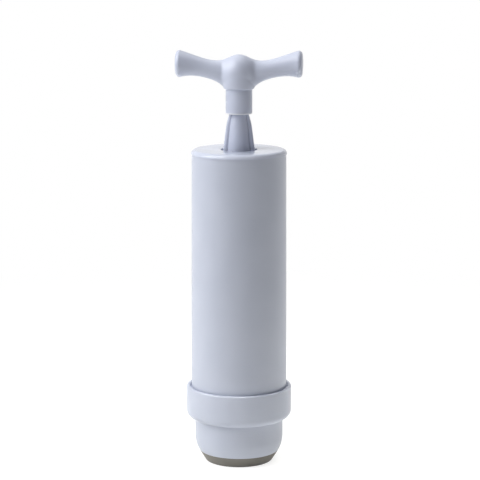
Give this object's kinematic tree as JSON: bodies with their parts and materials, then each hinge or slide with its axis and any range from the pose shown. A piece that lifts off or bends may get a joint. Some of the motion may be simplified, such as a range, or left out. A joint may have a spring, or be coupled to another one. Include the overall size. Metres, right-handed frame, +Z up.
{
  "type": "hand vacuum pump",
  "caption": "Hand suction pump with a T handle on a finned rod, a plain round barrel, a screw collar at its foot and a rubber sealing pad on the nozzle.",
  "frame": {"origin": "centre of the foot pad's lower face, the face that seals on the bag", "axes": "+Z up the barrel's axis towards the handle, X along the handle's arms"},
  "size_m": [0.0444, 0.037, 0.1459],
  "materials": {
    "shell_plastic": "semi-gloss moulded plastic, pale blue with a little violet",
    "inner_plastic": "satin moulded plastic",
    "pad_rubber": "soft grey-brown rubber",
    "seal_rubber": "black rubber, lightly greased",
    "valve_rubber": "thin translucent silicone rubber"
  },
  "bodies": {
    "shell": {"foot_pad": "pad_rubber", "nozzle": "shell_plastic", "collar": "shell_plastic", "valve_plate": "shell_plastic", "valve_guard": "inner_plastic", "base_gasket": "seal_rubber", "barrel": "shell_plastic", "top_cap": "shell_plastic"},
    "inlet_valve": {"inlet_disc": "valve_rubber"},
    "seal": {"piston_ring": "seal_rubber"},
    "piston": {"piston": "inner_plastic"},
    "plunger": {"rod": "shell_plastic", "handle": "shell_plastic"}
  },
  "joints": [
    {"name": "stroke", "type": "slide", "parent": "shell", "child": "seal", "axis": [0, 0, 1], "range_m": [0, 0.0699]},
    {"name": "seal_shift", "type": "slide", "parent": "seal", "child": "piston", "axis": [0, 0, 1], "range_m": [0, 0.0008]},
    {"name": "handle_spin", "type": "hinge", "parent": "piston", "child": "plunger", "pos_m": [0, 0, 0.036], "axis": [0, 0, 1], "continuous": true},
    {"name": "valve_lift", "type": "slide", "parent": "shell", "child": "inlet_valve", "axis": [0, 0, 1], "range_m": [0, 0.0008]}
  ]
}
